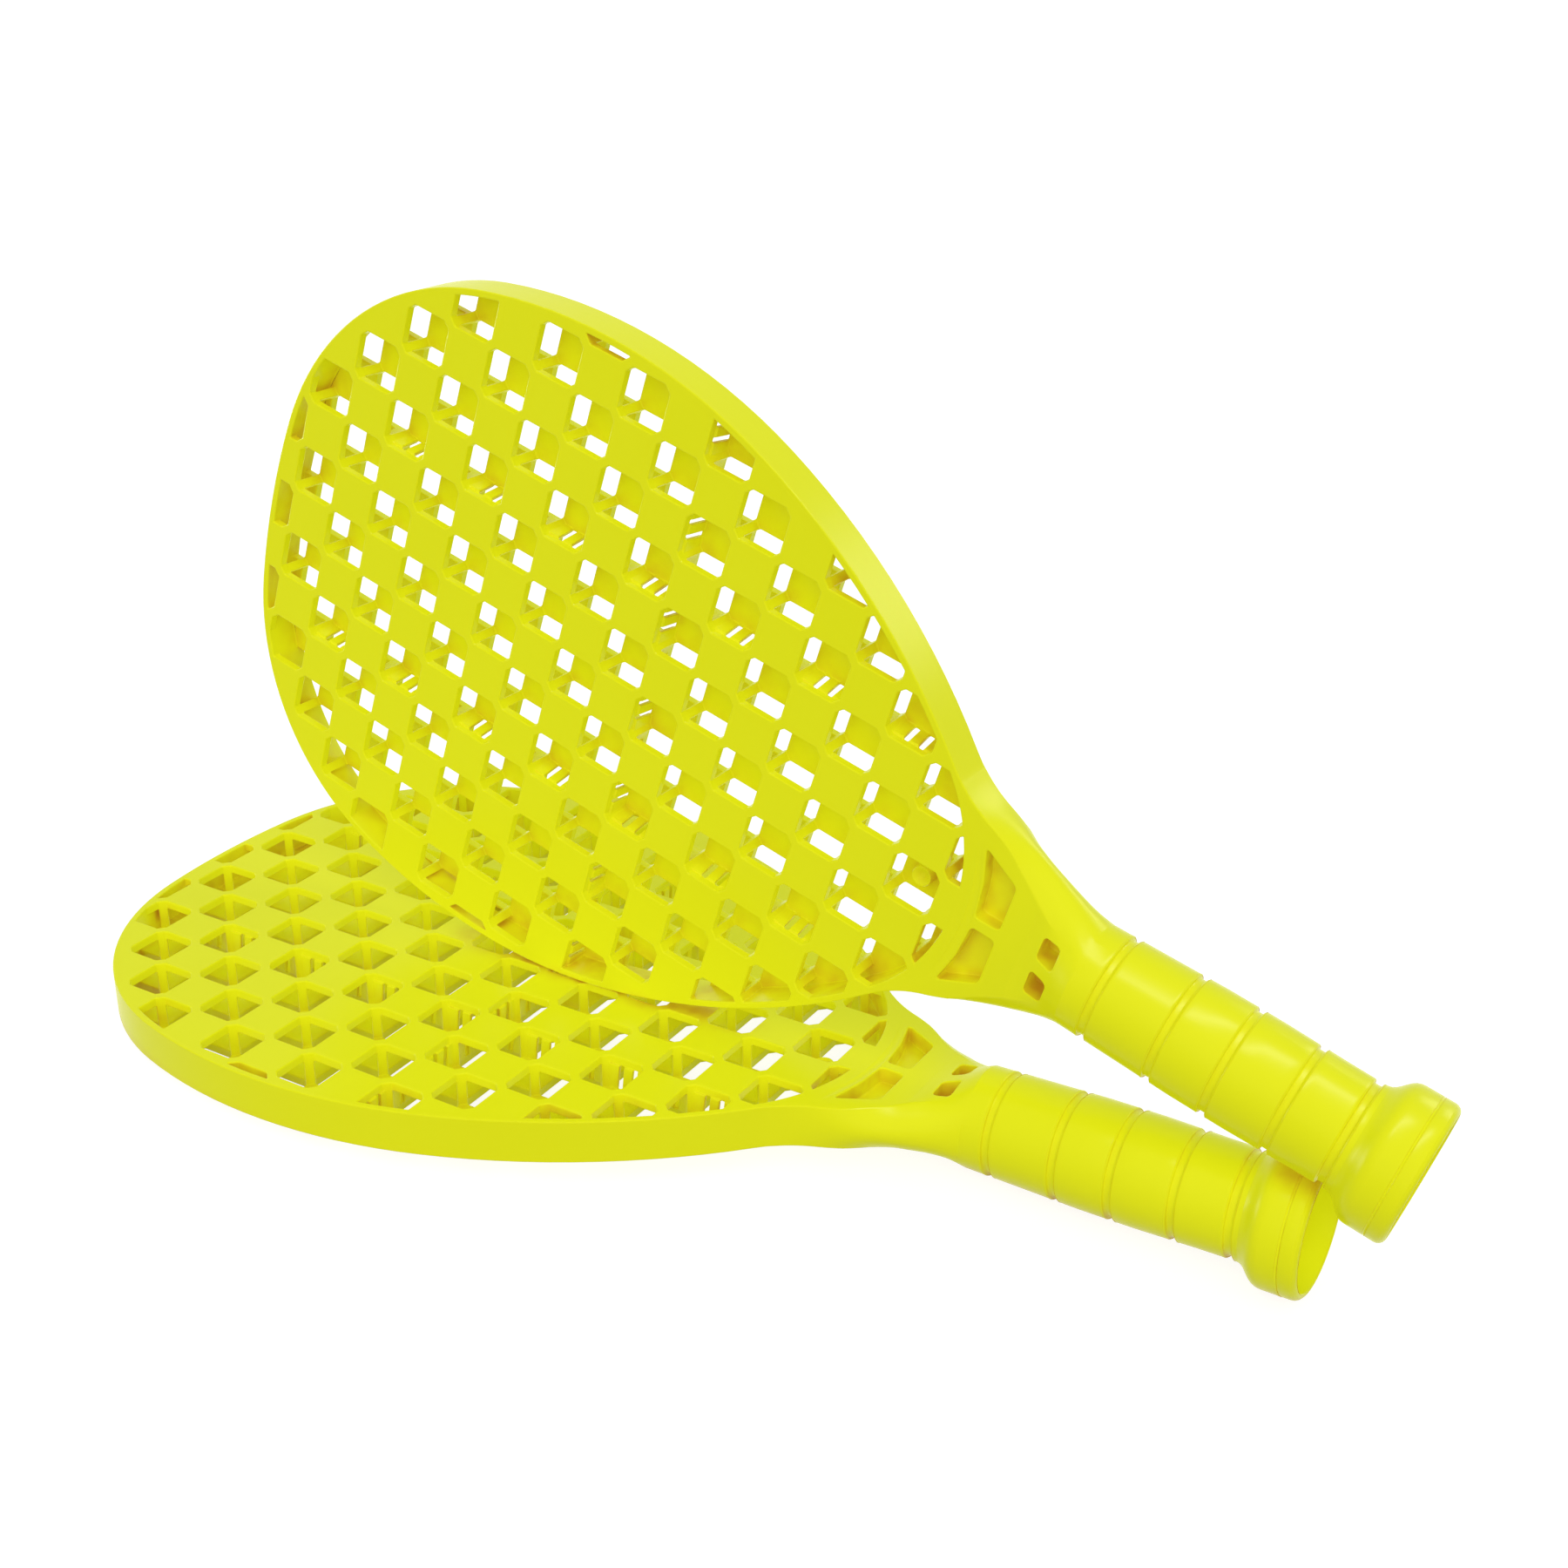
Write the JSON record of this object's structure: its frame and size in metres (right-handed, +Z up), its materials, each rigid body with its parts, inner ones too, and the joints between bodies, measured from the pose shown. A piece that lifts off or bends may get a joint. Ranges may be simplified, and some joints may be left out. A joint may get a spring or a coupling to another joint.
{
  "type": "paddle bat set",
  "caption": "Pair of moulded plastic lawn-game bats with double-skinned lattice heads; one lies flat, the other stands on its long edge on top of it.",
  "frame": {"origin": "on the ground, under the middle of the pair's bounding box", "axes": "+Z up; +X along the lying bat from its head to its butt, level; +Y across it, away from the standing bat's front face"},
  "size_m": [0.407, 0.1974, 0.2203],
  "materials": {
    "bat_plastic": "smooth, softly glossy neon yellow-green"
  },
  "bodies": {
    "lower_bat": {"lower_bat_head": "bat_plastic", "lower_bat_handle": "bat_plastic"},
    "upper_bat": {"upper_bat_head": "bat_plastic", "upper_bat_handle": "bat_plastic"}
  },
  "joints": [
    {"name": "upper_bat_lift", "type": "slide", "parent": "lower_bat", "child": "upper_bat", "axis": [0, 0, 1], "range_m": [0, 0.25]}
  ]
}
